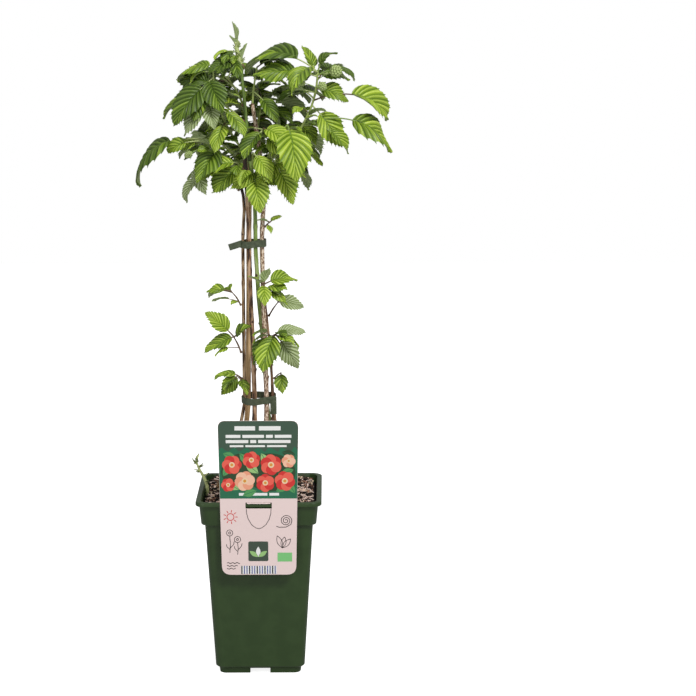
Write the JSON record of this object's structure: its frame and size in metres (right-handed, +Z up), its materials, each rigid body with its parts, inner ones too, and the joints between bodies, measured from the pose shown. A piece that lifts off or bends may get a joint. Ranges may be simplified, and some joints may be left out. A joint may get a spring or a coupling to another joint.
{
  "type": "potted raspberry plant",
  "caption": "Young raspberry plant with tied upright canes, leafy crown and small mid-height leaves, in a deep square plastic pot with a plain hanging label.",
  "frame": {"origin": "centre of the pot's flat underside", "axes": "+Z up the canes, -Y towards the side with the label, +X to the right as the label is read"},
  "size_m": [0.2641, 0.1751, 0.6762],
  "materials": {
    "pot": "dark green moulded plastic with a soft sheen",
    "compost": "dark compost with tan wood fibre",
    "label": "printed plastic card",
    "strap": "matt grey-green strap",
    "brown_bark": "red-brown cane bark",
    "tan_bark": "pale tan cane bark",
    "green_bark": "green young cane with bloom",
    "leaves": "fresh green toothed leaves",
    "sprout": "pale green new shoot"
  },
  "bodies": {
    "root": {"cane_1": "brown_bark", "cane_2": "tan_bark", "cane_3": "brown_bark", "cane_4": "green_bark", "cane_5": "tan_bark", "cane_6": "brown_bark", "cane_7": "brown_bark", "compost": "compost", "foliage_back": "leaves", "foliage_back_left": "leaves", "foliage_back_right": "leaves", "foliage_back_upper": "leaves", "foliage_back_upper_left": "leaves", "foliage_centre": "leaves", "foliage_centre_upper": "leaves", "foliage_crown_left": "leaves", "foliage_front": "leaves", "foliage_front_left": "leaves", "foliage_front_right": "leaves", "foliage_left": "leaves", "foliage_mid_front": "leaves", "foliage_mid_left": "leaves", "foliage_mid_left_lower": "leaves", "foliage_mid_left_upper": "leaves", "foliage_mid_right": "leaves", "foliage_mid_right_lower": "leaves", "foliage_mid_right_upper": "leaves", "foliage_right": "leaves", "foliage_right_upper": "leaves", "foliage_stem": "leaves", "foliage_tip": "leaves", "foliage_upper_left": "leaves", "label": "label", "pot": "pot", "sprout": "sprout", "tie_lower": "strap", "tie_upper": "strap"}
  },
  "joints": []
}
